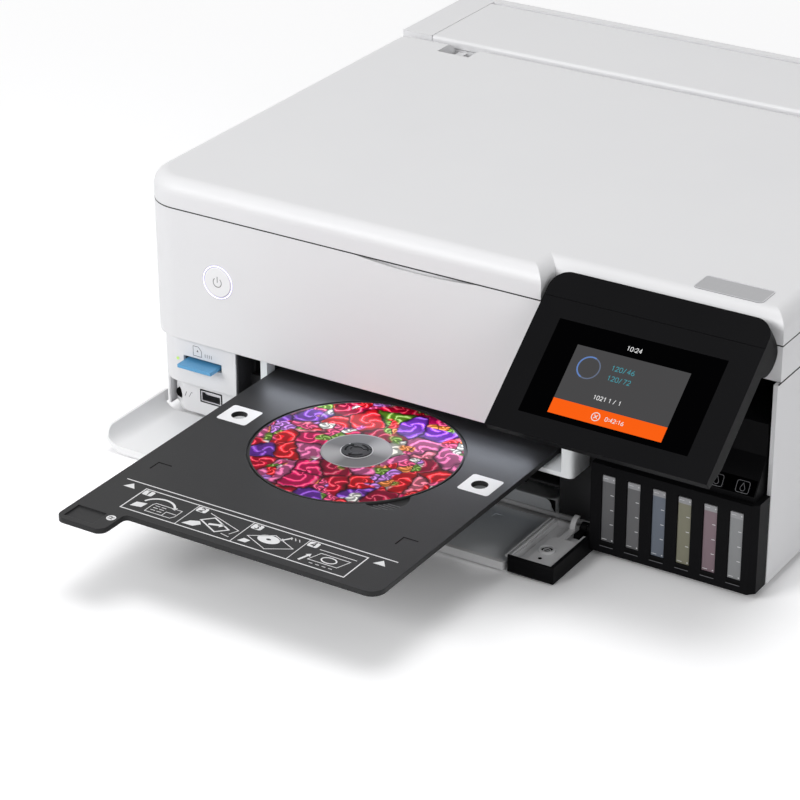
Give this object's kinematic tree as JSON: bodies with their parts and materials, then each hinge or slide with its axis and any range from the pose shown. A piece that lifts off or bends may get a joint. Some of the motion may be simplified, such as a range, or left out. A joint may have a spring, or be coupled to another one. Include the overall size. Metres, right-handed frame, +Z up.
{
  "type": "disc label printer",
  "caption": "Ink-tank photo printer with a slide-in tray that prints on discs, a flatbed scanner lid, a tilting control panel, paper cassettes and a fold-down front flap.",
  "frame": {"origin": "on the floor, at the middle of the footprint, with the disc tray out as shown", "axes": "+X to the right and +Y to the back as seen from the front, +Z up"},
  "size_m": [0.403, 0.564, 0.162],
  "materials": {
    "shell_white": "fine moulded texture",
    "shell_black": "gloss",
    "white_plastic": "satin",
    "grey_plastic": "satin",
    "tray_black": "satin",
    "disc_print": "printed gloss",
    "hub_grey": "satin",
    "rubber": "matt",
    "steel": "brushed",
    "clear_tank": "translucent",
    "inner_black": "matt",
    "circuit_green": "satin",
    "supply_case": "matt",
    "glass": "clear",
    "display_glass": "gloss",
    "button_white": "satin",
    "card_blue": "satin"
  },
  "bodies": {
    "chassis": {"base_housing": "shell_white", "rear_housing": "shell_white", "card_panel": "shell_white", "port_panel": "shell_white", "rear_feed_chute": "shell_black", "inner_frame": "shell_black", "side_plates": "shell_black", "tank_front_cover": "shell_black", "disc_guide_left": "white_plastic", "disc_guide_right": "white_plastic", "platen": "grey_plastic", "rubber_feet": "rubber", "timing_belt": "rubber", "star_wheels": "rubber", "usb_port": "steel", "card_reader": "steel", "data_ports": "steel", "guide_rail": "steel", "belt_tensioner": "steel", "carriage_motor": "steel", "ink_tank_1": "clear_tank", "ink_tank_2": "clear_tank", "ink_tank_3": "clear_tank", "ink_tank_4": "clear_tank", "ink_tank_5": "clear_tank", "ink_tank_6": "clear_tank", "tank_caps": "inner_black", "capping_station": "inner_black", "maintenance_box": "inner_black", "power_inlet": "inner_black", "main_board": "circuit_green", "power_supply": "supply_case"},
    "scanner_unit": {"scanner_housing": "shell_white", "front_fascia": "shell_white", "platen_glass": "glass", "button_ring": "button_white"},
    "scan_bar": {"scan_carriage": "inner_black"},
    "power_button": {"power_button": "button_white"},
    "document_cover": {"document_cover": "shell_white", "document_mat": "white_plastic"},
    "control_panel": {"panel_housing": "shell_black", "panel_glass": "display_glass"},
    "front_flap": {"front_flap": "shell_white", "flap_liner": "grey_plastic", "flap_end_cap": "shell_black", "flap_end_tray": "grey_plastic"},
    "disc_tray": {"disc_tray": "tray_black", "disc": "disc_print", "disc_hub": "hub_grey"},
    "feed_roller": {"feed_roller": "rubber"},
    "eject_roller": {"eject_roller": "rubber"},
    "output_tray": {"output_tray": "grey_plastic"},
    "photo_cassette": {"photo_cassette": "grey_plastic"},
    "paper_cassette": {"paper_cassette": "grey_plastic"},
    "memory_card": {"memory_card": "card_blue"},
    "tank_cover": {"tank_cover": "shell_black"},
    "rear_feed_cover": {"rear_feed_cover": "shell_white"},
    "print_carriage": {"print_carriage": "inner_black"},
    "motor_pulley": {"motor_pulley": "inner_black"},
    "idler_pulley": {"idler_pulley": "inner_black"}
  },
  "joints": [
    {"name": "scanner_unit_lift", "type": "hinge", "parent": "chassis", "child": "scanner_unit", "pos_m": [0, 0.185, 0.1515], "axis": [1, 0, 0], "range_deg": [-22, 0]},
    {"name": "document_cover_hinge", "type": "hinge", "parent": "scanner_unit", "child": "document_cover", "pos_m": [0, 0.185, 0.1515], "axis": [-1, 0, 0], "range_deg": [0, 80]},
    {"name": "scan_bar_travel", "type": "slide", "parent": "scanner_unit", "child": "scan_bar", "axis": [1, 0, 0], "range_m": [0, 0.27]},
    {"name": "power_button_press", "type": "slide", "parent": "scanner_unit", "child": "power_button", "axis": [0, 1, 0], "range_m": [0, 0.0012], "stiffness_N_per_m": 400},
    {"name": "control_panel_tilt", "type": "hinge", "parent": "scanner_unit", "child": "control_panel", "pos_m": [0, -0.0899, 0.145], "axis": [-1, 0, 0], "range_deg": [-50.6, 0]},
    {"name": "front_flap_hinge", "type": "hinge", "parent": "chassis", "child": "front_flap", "pos_m": [0, -0.084, 0.009], "axis": [-1, 0, 0], "range_deg": [0, 40]},
    {"name": "disc_tray_slide", "type": "slide", "parent": "chassis", "child": "disc_tray", "axis": [0, 1, 0], "range_m": [-0.06, 0.17]},
    {"name": "feed_roller_spin", "type": "hinge", "parent": "chassis", "child": "feed_roller", "pos_m": [0, 0.092, 0.0364], "axis": [1, 0, 0], "range_deg": [-1500, 1500]},
    {"name": "eject_roller_spin", "type": "hinge", "parent": "chassis", "child": "eject_roller", "pos_m": [0, 0.005, 0.0384], "axis": [1, 0, 0], "range_deg": [-1800, 1800]},
    {"name": "output_tray_slide", "type": "slide", "parent": "chassis", "child": "output_tray", "axis": [0, 1, 0], "range_m": [-0.13, 0]},
    {"name": "photo_cassette_slide", "type": "slide", "parent": "chassis", "child": "photo_cassette", "axis": [0, 1, 0], "range_m": [-0.1, 0]},
    {"name": "paper_cassette_slide", "type": "slide", "parent": "chassis", "child": "paper_cassette", "axis": [0, 1, 0], "range_m": [-0.12, 0]},
    {"name": "memory_card_slide", "type": "slide", "parent": "chassis", "child": "memory_card", "axis": [0, 1, 0], "range_m": [-0.028, 0]},
    {"name": "tank_cover_hinge", "type": "hinge", "parent": "chassis", "child": "tank_cover", "pos_m": [0.1485, 0.0035, 0.0965], "axis": [-1, 0, 0], "range_deg": [0, 14]},
    {"name": "rear_feed_cover_hinge", "type": "hinge", "parent": "chassis", "child": "rear_feed_cover", "pos_m": [0, 0.271, 0.158], "axis": [1, 0, 0], "range_deg": [-90, 0]},
    {"name": "print_carriage_travel", "type": "slide", "parent": "chassis", "child": "print_carriage", "axis": [1, 0, 0], "range_m": [-0.25, 0]},
    {"name": "motor_pulley_spin", "type": "hinge", "parent": "chassis", "child": "motor_pulley", "pos_m": [0.1825, 0.1056, 0.087], "axis": [0, 0, 1], "range_deg": [-2600, 2600]},
    {"name": "idler_pulley_spin", "type": "hinge", "parent": "chassis", "child": "idler_pulley", "pos_m": [-0.1315, 0.1056, 0.087], "axis": [0, 0, 1], "range_deg": [-2600, 2600]}
  ],
  "couplings": [
    {"joint": "feed_roller_spin", "follows": "disc_tray_slide", "rad_per_m": -125},
    {"joint": "eject_roller_spin", "follows": "disc_tray_slide", "rad_per_m": -166.67},
    {"joint": "motor_pulley_spin", "follows": "print_carriage_travel", "rad_per_m": 166.67},
    {"joint": "idler_pulley_spin", "follows": "print_carriage_travel", "rad_per_m": 166.67}
  ]
}
